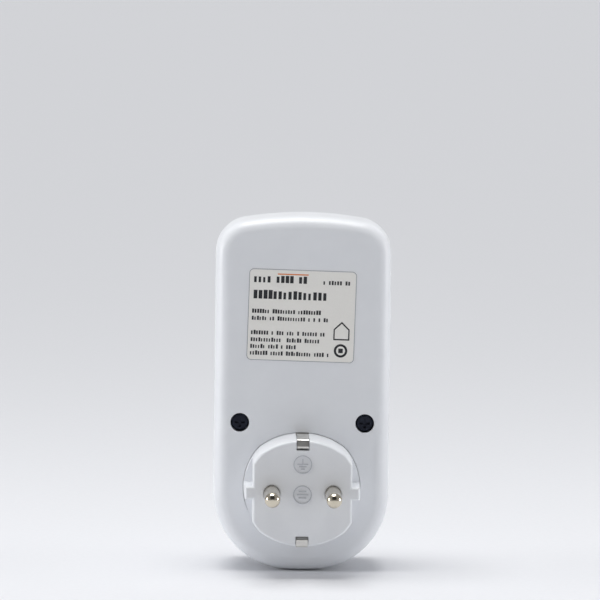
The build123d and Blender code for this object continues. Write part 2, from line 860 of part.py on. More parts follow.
with BuildPart() as shutter_spring:
    with BuildLine():
        coil = Helix(
            pitch=spring_pitch,
            height=spring_height,
            radius=spring_radius,
            center=(0, spring_seat_depth - carrier_front - 0.3, 0),
            direction=(0, -1, 0),
        )
    with BuildSketch(Plane(origin=coil @ 0, z_dir=coil % 0)):
        Circle(spring_wire / 2)
    sweep(path=coil)
shutter_spring.part.label = "shutter_spring"
export_step(shutter_spring.part, "parts/shutter_spring.step")

# Power board, on four posts behind the components
with BuildPart() as power_board:
    with BuildSketch(level(power_board_depth)):
        add(board_outline(power_board_inset, power_board_bottom))
        with Locations(*power_screw_spots):
            Circle(power_screw_clearance_radius, mode=Mode.SUBTRACT)
    extrude(amount=board_thickness)
power_board.part.label = "power_board"
export_step(power_board.part, "parts/power_board.step")

power_face = power_board_depth + board_thickness
with BuildPart() as power_board_screws:
    add(pan_screws(power_screw_spots, power_face, *power_screw, -1))
power_board_screws.part.label = "power_board_screws"
export_step(power_board_screws.part, "parts/power_board_screws.step")

# Shunt: a bridge of resistance strip between the live strap and the measured one
with BuildPart() as shunt_resistor:
    with BuildSketch(Plane.XY.offset(shunt_z)):
        with BuildLine():
            FilletPolyline(
                (-pin_x, -power_face),
                (-pin_x, -power_face - shunt_rise),
                (measured_strap_x, -power_face - shunt_rise),
                (measured_strap_x, -power_face),
                radius=shunt_thickness,
            )
        trace(line_width=shunt_thickness)
    extrude(amount=shunt_width / 2, both=True)
shunt_resistor.part.label = "shunt_resistor"
export_step(shunt_resistor.part, "parts/shunt_resistor.step")

# Mains capacitor: a boxed film capacitor on edge
with BuildPart() as mains_capacitor:
    with BuildSketch(level(power_face)):
        with Locations(mains_capacitor_at):
            Rectangle(mains_capacitor_size[0], mains_capacitor_size[1])
    extrude(amount=mains_capacitor_size[2])
    fillet(mains_capacitor.faces().sort_by(Axis.Y)[0].edges(), 0.6)
mains_capacitor.part.label = "mains_capacitor"
export_step(mains_capacitor.part, "parts/mains_capacitor.step")

# Varistor: a coated disc on two leads
varistor_x, varistor_z = varistor_at
with BuildPart() as varistor:
    with BuildSketch(Plane.XY.offset(varistor_z)):
        with Locations((varistor_x, -power_face - varistor_lift)):
            Circle(varistor_radius)
    extrude(amount=varistor_thickness / 2, both=True)
    fillet(varistor.edges(), 1.2)
    with BuildSketch(level(power_face)):
        with Locations(varistor_at):
            with GridLocations(2 * varistor_lead_half_pitch, 0, 2, 1):
                Circle(lead_diameter / 2)
    extrude(amount=varistor_lift - varistor_radius + 2 * lead_diameter)
varistor.part.label = "varistor"
export_step(varistor.part, "parts/varistor.step")

# Smoothing capacitors: two cans with a rolled groove near the foot
with BuildPart() as smoothing_capacitors:
    for x, z, radius, height in smoothing_cans:
        with BuildSketch(level(power_face)):
            with Locations((x, z)):
                Circle(radius)
        extrude(amount=height)
        with BuildSketch(level(power_face + can_groove_height)):
            with Locations((x, z)):
                Circle(radius)
                Circle(radius - can_groove_depth, mode=Mode.SUBTRACT)
        extrude(amount=can_groove_width, mode=Mode.SUBTRACT)
smoothing_capacitors.part.label = "smoothing_capacitors"
export_step(smoothing_capacitors.part, "parts/smoothing_capacitors.step")


def axial_part(x, z, length, radius, lift, lead_pitch):
    """Round component lying along X on two bent leads."""
    with BuildPart(mode=Mode.PRIVATE) as component:
        with BuildSketch(Plane.YZ.offset(x)):
            with Locations((-power_face - lift, z)):
                Circle(radius)
        extrude(amount=length / 2, both=True)
        fillet(component.edges(), radius * 0.3)
        with BuildSketch(Plane.XY.offset(z)):
            with BuildLine():
                FilletPolyline(
                    (x - lead_pitch / 2, -power_face),
                    (x - lead_pitch / 2, -power_face - lift),
                    (x + lead_pitch / 2, -power_face - lift),
                    (x + lead_pitch / 2, -power_face),
                    radius=0.7,
                )
            trace(line_width=lead_diameter)
        extrude(amount=lead_diameter / 2, both=True)
    return component.part


with BuildPart() as fuse_resistor:
    add(axial_part(*fuse_resistor_at, length=9.0, radius=1.9, lift=2.3, lead_pitch=13.0))
fuse_resistor.part.label = "fuse_resistor"
export_step(fuse_resistor.part, "parts/fuse_resistor.step")

with BuildPart() as rectifier_diodes:
    for z in diode_rows:
        add(axial_part(diode_x, z, length=4.6, radius=1.3, lift=1.6, lead_pitch=8.0))
rectifier_diodes.part.label = "rectifier_diodes"
export_step(rectifier_diodes.part, "parts/rectifier_diodes.step")

# Metering chip: a moulded body on two rows of gull-wing legs
chip_x, chip_z = chip_at
chip_foot = chip_leg_thickness / 2
chip_waist = chip_lift + 0.9
with BuildPart() as metering_chip:
    with BuildSketch(level(power_face + chip_lift)):
        with Locations(chip_at):
            Rectangle(chip_size[0], chip_size[1])
    extrude(amount=chip_size[2])
    chamfer(metering_chip.faces().sort_by(Axis.Y)[0].edges(), 0.4)
    for column in range(chip_legs_per_side):
        x = chip_x + (column - (chip_legs_per_side - 1) / 2) * chip_leg_pitch
        for side in (-1, 1):
            leg = [
                (-power_face - chip_foot, chip_z + side * 5.2),
                (-power_face - chip_foot, chip_z + side * 4.4),
                (-power_face - chip_waist, chip_z + side * 4.1),
                (-power_face - chip_waist, chip_z + side * 3.6),
            ]
            with BuildSketch(Plane.YZ.offset(x)):
                with BuildLine():
                    Polyline(*leg)
                trace(line_width=chip_leg_thickness)
            extrude(amount=chip_leg_width / 2, both=True)
metering_chip.part.label = "metering_chip"
export_step(metering_chip.part, "parts/metering_chip.step")

# Header that links the two boards: six square pins through a moulded bar
with BuildPart() as board_link_header:
    with BuildSketch(level(power_face)):
        with Locations(header_at):
            Rectangle(header_bar, header_ways * header_pitch)
    extrude(amount=header_bar)
    with BuildSketch(level(power_face)):
        with Locations(header_at):
            with GridLocations(0, header_pitch, 1, header_ways):
                Rectangle(header_pin, header_pin)
    extrude(amount=display_board_depth - power_face)
board_link_header.part.label = "board_link_header"
export_step(board_link_header.part, "parts/board_link_header.step")

# Insulation sheet between the boards, with a slot for the header's pins
with BuildPart() as insulation_sheet:
    with BuildSketch(level(sheet_depth)):
        add(board_outline(display_board_inset + sheet_inset, display_board_bottom + 1.0))
        with Locations(header_at):
            Rectangle(header_bar, (header_ways + 0.5) * header_pitch, mode=Mode.SUBTRACT)
    extrude(amount=sheet_thickness)
insulation_sheet.part.label = "insulation_sheet"
export_step(insulation_sheet.part, "parts/insulation_sheet.step")

# Display board, with a tab that carries the reset switch
with BuildPart() as display_board:
    with BuildSketch(level(display_board_depth)):
        add(board_outline(display_board_inset, display_board_bottom))
        with Locations((0, display_board_bottom + 0.5)):
            Rectangle(*reset_tab, align=(Align.CENTER, Align.MAX))
        with Locations(*display_screw_spots):
            Circle(display_screw_clearance_radius, mode=Mode.SUBTRACT)
        with Locations(header_at):
            Rectangle(2.5 * header_pin, header_ways * header_pitch, mode=Mode.SUBTRACT)
    extrude(amount=board_thickness)
display_board.part.label = "display_board"
export_step(display_board.part, "parts/display_board.step")

with BuildPart() as display_board_screws:
    add(pan_screws(display_screw_spots, display_board_depth, *display_screw, 1))
display_board_screws.part.label = "display_board_screws"
export_step(display_board_screws.part, "parts/display_board_screws.step")

display_face = display_board_depth + board_thickness

# LCD: two sheets of glass, the front one shorter to bare the contact edges
with BuildPart() as lcd_panel:
    with BuildSketch(level(lcd_rear)):
        with Locations((0, display_z)):
            Rectangle(lcd_width, lcd_height)
    extrude(amount=lcd_step - lcd_rear)
    with BuildSketch(level(lcd_step)):
        with Locations((0, display_z)):
            Rectangle(lcd_width, lcd_height - 2 * lcd_contact_edge)
    extrude(amount=lcd_front - lcd_step)
lcd_panel.part.label = "lcd_panel"
export_step(lcd_panel.part, "parts/lcd_panel.step")

lcd_pocket = (lcd_width + 2 * lcd_clearance, lcd_height + 2 * lcd_clearance)
with BuildPart() as lcd_frame:
    with BuildSketch(level(display_face)):
        with Locations((0, display_z)):
            Rectangle(lcd_pocket[0] + 2 * lcd_frame_wall, lcd_pocket[1] + 2 * lcd_frame_wall)
    extrude(amount=lcd_frame_front - display_face)
    with BuildSketch(level(display_face)):
        with Locations((0, display_z)):
            Rectangle(*lcd_pocket)
    extrude(amount=lcd_front + 0.05 - display_face, mode=Mode.SUBTRACT)
    with BuildSketch(level(display_face)):
        with Locations((0, display_z)):
            Rectangle(view_width + 0.4, view_height + 0.4)
    extrude(amount=lcd_frame_front, mode=Mode.SUBTRACT)
lcd_frame.part.label = "lcd_frame"
export_step(lcd_frame.part, "parts/lcd_frame.step")

with BuildPart() as zebra_strips:
    with BuildSketch(level(display_face)):
        with Locations((0, display_z)):
            with GridLocations(0, lcd_height - lcd_contact_edge - 4 * lcd_clearance, 1, 2):
                Rectangle(lcd_width - 1.0, lcd_contact_edge)
    extrude(amount=lcd_rear - display_face)
zebra_strips.part.label = "zebra_strips"
export_step(zebra_strips.part, "parts/zebra_strips.step")

# On the back of the display board: the bonded chip under its resin, the crystal and the cell
with BuildPart() as display_chip:
    with BuildSketch(level(display_board_depth)):
        with Locations(display_chip_at):
            Circle(display_chip_radius)
    extrude(amount=-display_chip_height)
    fillet(display_chip.faces().sort_by(Axis.Y)[-1].edges(), 1.4)
display_chip.part.label = "display_chip"
export_step(display_chip.part, "parts/display_chip.step")

with BuildPart() as clock_crystal:
    with BuildSketch(Plane.YZ.offset(crystal_x)):
        with Locations((crystal_radius - display_board_depth, crystal_z)):
            Circle(crystal_radius)
    extrude(amount=crystal_length)
    fillet(clock_crystal.edges(), 0.3)
clock_crystal.part.label = "clock_crystal"
export_step(clock_crystal.part, "parts/clock_crystal.step")

with BuildPart() as cell_holder:
    with BuildSketch(level(cell_rear)):
        with Locations(cell_at):
            Circle(cell_radius + cell_holder_wall)
            Circle(cell_radius + cell_clearance, mode=Mode.SUBTRACT)
            Rectangle(
                2 * cell_radius,
                0.9 * cell_radius,
                align=(Align.MAX, Align.CENTER),
                mode=Mode.SUBTRACT,
            )
    extrude(amount=display_board_depth - cell_rear)
    with BuildSketch(level(display_board_depth)):
        with Locations(cell_at):
            Circle(cell_radius + cell_holder_wall)
    extrude(amount=-cell_holder_floor)
cell_holder.part.label = "cell_holder"
export_step(cell_holder.part, "parts/cell_holder.step")

with BuildPart() as backup_cell:
    with BuildSketch(level(cell_rear)):
        with Locations(cell_at):
            Circle(cell_radius - 2 * cell_step)
    extrude(amount=cell_step)
    with BuildSketch(level(cell_rear + cell_step)):
        with Locations(cell_at):
            Circle(cell_radius)
    extrude(amount=cell_height - cell_step)
backup_cell.part.label = "backup_cell"
export_step(backup_cell.part, "parts/backup_cell.step")

# Tact switches: square bodies in one node, and one plunger for each key
switch_spots = [(x, z) for _, x, z, _ in keys] + [(0, reset_z)]
with BuildPart() as switch_bodies:
    with BuildSketch(level(display_face)):
        with Locations(*switch_spots):
            Rectangle(switch_size, switch_size)
    extrude(amount=switch_top - display_face)
    with BuildSketch(level(display_face + 0.2)):
        with Locations(*switch_spots):
            Circle(plunger_diameter / 2 + 0.1)
    extrude(amount=switch_top, mode=Mode.SUBTRACT)
switch_bodies.part.label = "switch_bodies"
export_step(switch_bodies.part, "parts/switch_bodies.step")

for name, x, z, _ in keys + [("reset", 0, reset_z, 0)]:
    with BuildPart() as plunger:
        with BuildSketch(level(plunger_rear)):
            with Locations((x, z)):
                Circle(plunger_diameter / 2)
        extrude(amount=plunger_front - plunger_rear)
    plunger.part.label = f"{name}_switch_plunger"
    export_step(plunger.part, f"parts/{name}_switch_plunger.step")

# Key caps: an oval head, a rim that keeps it in the case, and a stem to the switch
for name, x, z, turn in keys:
    with BuildPart() as key_cap:
        with BuildSketch(level(key_rim_front)):
            with Locations(Location((x, z), turn)):
                SlotOverall(key_length, key_width)
        extrude(amount=key_front - key_rim_front)
        fillet(key_cap.faces().sort_by(Axis.Y)[0].edges(), 0.7)
        with BuildSketch(level(key_rim_rear)):
            with Locations(Location((x, z), turn)):
                SlotOverall(key_length + 2 * key_rim, key_width + 2 * key_rim)
        extrude(amount=key_rim_front - key_rim_rear)
        with BuildSketch(level(plunger_front)):
            with Locations((x, z)):
                Circle(stem_diameter / 2)
        extrude(amount=key_rim_rear - plunger_front)
    key_cap.part.label = f"{name}_key"
    export_step(key_cap.part, f"parts/{name}_key.step")

# Reset pin, pressed through its hole with a pen tip
with BuildPart() as reset_key:
    with BuildSketch(level(key_rim_front)):
        with Locations((0, reset_z)):
            Circle(reset_pin_diameter / 2)
    extrude(amount=reset_pin_front - key_rim_front)
    fillet(reset_key.faces().sort_by(Axis.Y)[0].edges(), 0.4)
    with BuildSketch(level(key_rim_rear)):
        with Locations((0, reset_z)):
            Circle(reset_rim_diameter / 2)
    extrude(amount=key_rim_front - key_rim_rear)
    with BuildSketch(level(plunger_front)):
        with Locations((0, reset_z)):
            Circle(reset_pin_diameter / 2)
    extrude(amount=key_rim_rear - plunger_front)
reset_key.part.label = "reset_key"
export_step(reset_key.part, "parts/reset_key.step")
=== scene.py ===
import json
import math

import bmesh
import bpy
from mathutils import Matrix, Quaternion, Vector


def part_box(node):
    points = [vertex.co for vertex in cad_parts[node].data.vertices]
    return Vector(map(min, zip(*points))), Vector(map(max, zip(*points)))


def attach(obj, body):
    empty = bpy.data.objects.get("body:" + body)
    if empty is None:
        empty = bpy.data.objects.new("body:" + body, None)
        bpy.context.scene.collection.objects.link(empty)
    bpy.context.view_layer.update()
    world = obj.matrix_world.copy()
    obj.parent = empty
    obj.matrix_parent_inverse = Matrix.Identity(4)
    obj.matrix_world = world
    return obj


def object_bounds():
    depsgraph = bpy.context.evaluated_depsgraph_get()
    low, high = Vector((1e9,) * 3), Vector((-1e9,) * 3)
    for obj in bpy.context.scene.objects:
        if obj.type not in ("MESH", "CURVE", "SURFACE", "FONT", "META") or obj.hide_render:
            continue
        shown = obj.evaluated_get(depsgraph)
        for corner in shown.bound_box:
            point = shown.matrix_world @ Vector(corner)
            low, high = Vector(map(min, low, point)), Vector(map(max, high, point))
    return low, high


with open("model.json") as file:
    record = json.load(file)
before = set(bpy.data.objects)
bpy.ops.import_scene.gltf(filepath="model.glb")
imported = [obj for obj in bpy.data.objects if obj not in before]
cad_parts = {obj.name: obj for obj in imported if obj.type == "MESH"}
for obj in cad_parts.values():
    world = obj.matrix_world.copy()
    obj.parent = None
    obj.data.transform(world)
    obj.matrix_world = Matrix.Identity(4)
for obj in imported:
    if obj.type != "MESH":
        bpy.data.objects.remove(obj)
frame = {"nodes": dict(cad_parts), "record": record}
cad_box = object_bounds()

# Plug-in power meter. Blender's lengths are metres, and MM turns millimetres into them.
MM = 0.001

# Heights of the faces that carry prints, from the CAD nodes
label_low, label_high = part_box("rating_label")
label_face_y = label_high.y
plug_face_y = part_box("plug_body")[1].y
lcd_low, lcd_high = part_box("lcd_panel")
lcd_face_y = lcd_low.y
front_face_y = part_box("front_shell")[0].y
floor_z = cad_box[0].z


def linear(code):
    """Linear colour of an sRGB hex value."""
    channels = [int(code[i : i + 2], 16) / 255 for i in (1, 3, 5)]
    made = [c / 12.92 if c <= 0.04045 else ((c + 0.055) / 1.055) ** 2.4 for c in channels]
    return (*made, 1.0)


def add_node(tree, kind, inputs=None, **settings):
    """Adds a node with its settings; each input takes a value or the socket that feeds it."""
    node = tree.nodes.new(kind)
    for name, value in settings.items():
        setattr(node, name, value)
    for name, value in (inputs or {}).items():
        if isinstance(value, bpy.types.NodeSocket):
            tree.links.new(value, node.inputs[name])
        else:
            node.inputs[name].default_value = value
    return node


# ---------------------------------------------------------------- materials
# In a Mix node of colours, sockets 0, 6 and 7 are the factor and the two colours, and output 2
# is the result.


def new_material(name):
    """An empty material: its tree, and the socket of its Object coordinates."""
    made = bpy.data.materials.new(name)
    made.use_nodes = True
    made.node_tree.nodes.clear()
    place = add_node(made.node_tree, "ShaderNodeTexCoord").outputs["Object"]
    return made, made.node_tree, place


def moulded_plastic(name, light, dark, roughness, grain, depth, coat=0.0):
    """Thermoplastic out of a steel mould. The mould's grain breaks the gloss into a satin sheen,
    and flow in the melt leaves a cloudiness a few millimetres across."""
    made, tree, place = new_material(name)
    cloud_size = 7 * MM
    cloud = add_node(
        tree,
        "ShaderNodeTexNoise",
        {"Vector": place, "Scale": 1 / cloud_size, "Detail": 3.0, "Roughness": 0.55},
    )
    pits = add_node(
        tree,
        "ShaderNodeTexVoronoi",
        {"Vector": place, "Scale": 1 / grain, "Randomness": 1.0},
        feature="SMOOTH_F1",
    )
    colour = add_node(
        tree,
        "ShaderNodeMix",
        {0: cloud.outputs["Fac"], 6: linear(dark), 7: linear(light)},
        data_type="RGBA",
    )
    gloss = add_node(
        tree,
        "ShaderNodeMapRange",
        {
            "Value": cloud.outputs["Fac"],
            "From Min": 0.3,
            "From Max": 0.7,
            "To Min": roughness - 0.04,
            "To Max": roughness + 0.04,
        },
    )
    bump = add_node(
        tree,
        "ShaderNodeBump",
        {"Height": pits.outputs["Distance"], "Distance": depth, "Strength": 1.0},
    )
    shader = add_node(
        tree,
        "ShaderNodeBsdfPrincipled",
        {
            "Base Color": colour.outputs[2],
            "Roughness": gloss.outputs["Result"],
            "IOR": 1.53,
            "Coat Weight": coat,
            "Coat Roughness": 0.08,
            "Normal": bump.outputs["Normal"],
        },
    )
    add_node(tree, "ShaderNodeOutputMaterial", {"Surface": shader.outputs["BSDF"]})
    return made


def worked_metal(name, light, dark, roughness, line_spacing, line_axis, depth):
    """Metal plated or left bare after drawing, turning or stamping. Fine lines along the way it
    was worked draw its highlights out, and a thin haze dulls it unevenly."""
    made, tree, place = new_material(name)
    line_stretch = 40
    haze_size = 2.5 * MM
    stretch = [1 / line_spacing] * 3
    stretch[line_axis] = 1 / (line_stretch * line_spacing)
    along = add_node(tree, "ShaderNodeMapping", {"Vector": place, "Scale": stretch})
    lines = add_node(
        tree,
        "ShaderNodeTexNoise",
        {"Vector": along.outputs["Vector"], "Scale": 1.0, "Detail": 2.0},
    )
    haze = add_node(
        tree,
        "ShaderNodeTexNoise",
        {"Vector": place, "Scale": 1 / haze_size, "Detail": 3.0, "Roughness": 0.6},
    )
    colour = add_node(
        tree,
        "ShaderNodeMix",
        {0: haze.outputs["Fac"], 6: linear(dark), 7: linear(light)},
        data_type="RGBA",
    )
    gloss = add_node(
        tree,
        "ShaderNodeMapRange",
        {
            "Value": haze.outputs["Fac"],
            "From Min": 0.3,
            "From Max": 0.7,
            "To Min": roughness + 0.05,
            "To Max": roughness - 0.04,
        },
    )
    bump = add_node(
        tree,
        "ShaderNodeBump",
        {"Height": lines.outputs["Fac"], "Distance": depth, "Strength": 1.0},
    )
    shader = add_node(
        tree,
        "ShaderNodeBsdfPrincipled",
        {
            "Base Color": colour.outputs[2],
            "Metallic": 1.0,
            "Roughness": gloss.outputs["Result"],
            "Normal": bump.outputs["Normal"],
        },
    )
    add_node(tree, "ShaderNodeOutputMaterial", {"Surface": shader.outputs["BSDF"]})
    return made


def coated_film(name, light, dark, roughness, mottle, depth):
    """Thin printed film, ink or lacquer: flat colour with the slight orange peel of a wet coat."""
    made, tree, place = new_material(name)
    peel = add_node(
        tree,
        "ShaderNodeTexNoise",
        {"Vector": place, "Scale": 1 / mottle, "Detail": 4.0, "Roughness": 0.6},
    )
    colour = add_node(
        tree,
        "ShaderNodeMix",
        {0: peel.outputs["Fac"], 6: linear(dark), 7: linear(light)},
        data_type="RGBA",
    )
    bump = add_node(
        tree,
        "ShaderNodeBump",
        {"Height": peel.outputs["Fac"], "Distance": depth, "Strength": 1.0},
    )
    shader = add_node(
        tree,
        "ShaderNodeBsdfPrincipled",
        {
            "Base Color": colour.outputs[2],
            "Roughness": roughness,
            "IOR": 1.48,
            "Normal": bump.outputs["Normal"],
        },
    )
    add_node(tree, "ShaderNodeOutputMaterial", {"Surface": shader.outputs["BSDF"]})
    return made


def solder_masked_laminate():
    """Glass-epoxy board under green solder mask. Copper under the mask shows as paler paths that
    stand a little proud, and the mask itself is glossy."""
    made, tree, place = new_material("solder_masked_laminate")
    pad_spacing = 3.0 * MM
    copper_thickness = 0.035 * MM
    copper = add_node(
        tree,
        "ShaderNodeTexVoronoi",
        {"Vector": place, "Scale": 1 / pad_spacing, "Randomness": 0.4},
        feature="DISTANCE_TO_EDGE",
    )
    path = add_node(
        tree,
        "ShaderNodeMapRange",
        {
            "Value": copper.outputs["Distance"],
            "From Min": 0.10,
            "From Max": 0.16,
            "To Min": 1.0,
            "To Max": 0.0,
        },
    )
    colour = add_node(
        tree,
        "ShaderNodeMix",
        {0: path.outputs["Result"], 6: linear("#0F4A2A"), 7: linear("#2E7A48")},
        data_type="RGBA",
    )
    bump = add_node(
        tree,
        "ShaderNodeBump",
        {"Height": path.outputs["Result"], "Distance": copper_thickness, "Strength": 1.0},
    )
    shader = add_node(
        tree,
        "ShaderNodeBsdfPrincipled",
        {
            "Base Color": colour.outputs[2],
            "Roughness": 0.25,
            "IOR": 1.5,
            "Normal": bump.outputs["Normal"],
        },
    )
    add_node(tree, "ShaderNodeOutputMaterial", {"Surface": shader.outputs["BSDF"]})
    return made


def clear_acrylic():
    """Polished acrylic sheet: it shows what lies under it, with a sharp gloss that a faint
    moulding ripple bends. The alpha lets light through to the display without a caustic."""
    made, tree, place = new_material("clear_acrylic_window")
    ripple_size = 16 * MM
    ripple = add_node(
        tree, "ShaderNodeTexNoise", {"Vector": place, "Scale": 1 / ripple_size, "Detail": 1.0}
    )
    bump = add_node(
        tree,
        "ShaderNodeBump",
        {"Height": ripple.outputs["Fac"], "Distance": 0.06 * MM, "Strength": 1.0},
    )
    shader = add_node(
        tree,
        "ShaderNodeBsdfPrincipled",
        {
            "Base Color": linear("#F7FAFA"),
            "Roughness": 0.03,
            "IOR": 1.49,
            "Transmission Weight": 1.0,
            "Alpha": 0.2,
            "Normal": bump.outputs["Normal"],
        },
    )
    add_node(tree, "ShaderNodeOutputMaterial", {"Surface": shader.outputs["BSDF"]})
    return made


def reflective_display():
    """Reflective LCD under its polariser: grey green, with the fine grid of its electrodes."""
    made, tree, place = new_material("reflective_lcd_polariser")
    electrode_pitch = 0.5 * MM
    shade_size = 18 * MM
    cells = add_node(
        tree,
        "ShaderNodeTexVoronoi",
        {"Vector": place, "Scale": 1 / electrode_pitch, "Randomness": 0.0},
        distance="CHEBYCHEV",
    )
    shade = add_node(
        tree, "ShaderNodeTexNoise", {"Vector": place, "Scale": 1 / shade_size, "Detail": 1.0}
    )
    grid = add_node(
        tree,
        "ShaderNodeMapRange",
        {
            "Value": cells.outputs["Distance"],
            "From Min": 0.40,
            "From Max": 0.50,
            "To Min": 0.0,
            "To Max": 0.35,
        },
    )
    tint = add_node(
        tree,
        "ShaderNodeMix",
        {0: shade.outputs["Fac"], 6: linear("#98A38E"), 7: linear("#A9B29C")},
        data_type="RGBA",
    )
    colour = add_node(
        tree,
        "ShaderNodeMix",
        {0: grid.outputs["Result"], 6: tint.outputs[2], 7: linear("#8B9682")},
        data_type="RGBA",
    )
    shader = add_node(
        tree,
        "ShaderNodeBsdfPrincipled",
        {
            "Base Color": colour.outputs[2],
            "Roughness": 0.22,
            "IOR": 1.5,
            "Coat Weight": 0.4,
            "Coat Roughness": 0.05,
        },
    )
    add_node(tree, "ShaderNodeOutputMaterial", {"Surface": shader.outputs["BSDF"]})
    return made


def pressed_paper_floor():
    """Matt studio paper, pale and even, with a fibre that shows only close to."""
    made, tree, place = new_material("studio_paper")
    fibre_size = 1.5 * MM
    fibre = add_node(
        tree, "ShaderNodeTexNoise", {"Vector": place, "Scale": 1 / fibre_size, "Detail": 3.0}
    )
    colour = add_node(
        tree,
        "ShaderNodeMix",
        {0: fibre.outputs["Fac"], 6: linear("#DDDEE2"), 7: linear("#E3E4E7")},
        data_type="RGBA",
    )
    shader = add_node(
        tree, "ShaderNodeBsdfPrincipled", {"Base Color": colour.outputs[2], "Roughness": 0.9}
    )
    add_node(tree, "ShaderNodeOutputMaterial", {"Surface": shader.outputs["BSDF"]})
    return made


# The case's real grain is about 0.1 mm; it is drawn at 0.45 mm, as coarse as it needs to show
case_plastic = moulded_plastic(
    "satin_white_abs", "#ECEEF1", "#E6E8EC", 0.36, 0.45 * MM, 0.006 * MM
)
# Worked metals take the spacing of their lines, then the axis that these run along: 0 for X,
# 1 for Y and 2 for Z. Real lines are finer than 0.05 mm, so these too are as coarse as they need
# to be. Turned pins are the brightest and warmest metal, and sprung strip is paler and duller.
nickel = worked_metal("turned_nickel_plate", "#DAD2C2", "#C6BDAB", 0.11, 0.10 * MM, 0, 0.001 * MM)
spring_nickel = worked_metal(
    "stamped_nickel_plate", "#DEDCD8", "#CAC8C3", 0.34, 0.12 * MM, 1, 0.002 * MM
)
# Moulded marks keep the mould's polish and a finer grain than the face; their tone, a shade darker
# than the case, is painted shade for the shadow along their raised edges
shaded_mark_plastic = moulded_plastic(
    "mark_abs_painted_shade", "#C6C8CD", "#BEC0C6", 0.22, 0.6 * MM, 0.001 * MM
)
finishes = {
    "case_abs": case_plastic,
    # Keys: the same plastic in mid grey, polished a little by its mould
    "key_abs": moulded_plastic(
        "satin_grey_abs", "#7E8389", "#747980", 0.34, 0.4 * MM, 0.005 * MM
    ),
    # Bezel: gloss black ABS from a polished mould, with almost no grain
    "bezel_abs": moulded_plastic(
        "gloss_charcoal_abs", "#34383E", "#2B2F35", 0.16, 0.6 * MM, 0.001 * MM, 0.5
    ),
    "window_acrylic": clear_acrylic(),
    # Label: satin vinyl, a shade warmer and duller than the case
    "label_paper": coated_film(
        "satin_vinyl_film", "#F4F2ED", "#EDEBE6", 0.42, 0.5 * MM, 0.003 * MM
    ),
    # Screws: black oxide over steel, nearly without gloss
    "black_screw_steel": worked_metal(
        "black_oxide_steel", "#3A3D48", "#23252D", 0.42, 0.15 * MM, 0, 0.004 * MM
    ),
    # Inner screws: clear zinc plate, bluish and hazy
    "bright_screw_steel": worked_metal(
        "zinc_plated_steel", "#C4C7CC", "#A6A9AF", 0.30, 0.15 * MM, 0, 0.003 * MM
    ),
    "pin_nickel": nickel,
    "clip_nickel": spring_nickel,
    # Straps and contacts: bare brass strip, yellow with a soft shine along its rolling
    "strap_brass": worked_metal(
        "stamped_brass", "#D9B870", "#BF9A52", 0.28, 0.15 * MM, 2, 0.003 * MM
    ),
    # Shunt: copper-manganese wire, brownish grey
    "shunt_alloy": worked_metal(
        "drawn_resistance_alloy", "#A3968A", "#867A70", 0.38, 0.15 * MM, 1, 0.003 * MM
    ),
    # Carriers: glass-filled nylon, matt and dark, with fibres that roughen its skin
    "carrier_resin": moulded_plastic(
        "glass_filled_nylon", "#3E3F42", "#2C2D30", 0.55, 0.3 * MM, 0.012 * MM
    ),
    # Shutter: acetal, smooth and a little waxy
    "shutter_acetal": moulded_plastic(
        "natural_acetal", "#D9D9D2", "#CDCDC6", 0.30, 0.5 * MM, 0.003 * MM
    ),
    "board_laminate": solder_masked_laminate(),
    # Chips: moulded epoxy, dead matt and nearly black
    "chip_epoxy": moulded_plastic(
        "transfer_moulded_epoxy", "#2A2B2D", "#1C1D1F", 0.58, 0.25 * MM, 0.008 * MM
    ),
    # Film capacitor: a plain yellow moulded box
    "film_capacitor_box": moulded_plastic(
        "yellow_polyester_box", "#D8B62C", "#C6A31E", 0.38, 0.4 * MM, 0.005 * MM
    ),
    # Varistor: dipped blue epoxy, glossy and lumpy
    "varistor_epoxy": coated_film(
        "dipped_blue_epoxy", "#2C5FA8", "#204C8C", 0.24, 2.0 * MM, 0.05 * MM
    ),
    # Electrolytic cans: PVC sleeve, glossy and slightly wrinkled from its shrinking
    "capacitor_sleeve": coated_film(
        "shrunk_pvc_sleeve", "#20242C", "#171A20", 0.30, 1.5 * MM, 0.02 * MM
    ),
    # Resistor: baked lacquer, pale blue and uneven
    "resistor_coat": coated_film(
        "resistor_lacquer", "#8FB0BC", "#7D9FAC", 0.45, 0.4 * MM, 0.01 * MM
    ),
    # Insulation sheet: milky polyester film with a gentle wave
    "insulation_film": coated_film(
        "polyester_insulation_film", "#DADAD2", "#D0D0C8", 0.40, 3.0 * MM, 0.01 * MM
    ),
    "lcd_glass": reflective_display(),
    # LCD frame: white polystyrene, flatter and greyer than the case
    "frame_polystyrene": moulded_plastic(
        "white_polystyrene", "#E3E4E4", "#DADBDB", 0.42, 0.4 * MM, 0.004 * MM
    ),
    # Zebra strips: carbon-filled rubber, matt charcoal
    "zebra_silicone": coated_film(
        "conductive_silicone", "#3A3A3C", "#262628", 0.6, 0.3 * MM, 0.01 * MM
    ),
    # Cell: nickel-plated can with a fine brushed lid
    "cell_steel": worked_metal(
        "nickel_plated_steel_can", "#CFCFCB", "#B5B5B1", 0.22, 0.10 * MM, 0, 0.002 * MM
    ),
}
# Inks lie flat and matt: the label's black and orange, the pad print on the front and on the keys,
# and the dark crystal of the display's segments. The grey at the label's border is painted shade.
label_ink = coated_film("black_label_ink", "#2A2A2F", "#1C1C20", 0.45, 0.3 * MM, 0.002 * MM)
accent_ink = coated_film("orange_label_ink", "#E8822E", "#DB7422", 0.45, 0.3 * MM, 0.002 * MM)
edge_shade_film = coated_film("painted_edge_shade", "#A8AAB2", "#9EA0A8", 0.50, 0.3 * MM, 0.002 * MM)
caption_ink = coated_film("grey_pad_print", "#6B7077", "#5D6269", 0.5, 0.3 * MM, 0.002 * MM)
key_ink = coated_film("white_key_ink", "#F0F1F2", "#E6E7E8", 0.5, 0.3 * MM, 0.002 * MM)
segment_film = coated_film("lcd_segment_film", "#2C332D", "#222823", 0.3, 0.3 * MM, 0.001 * MM)

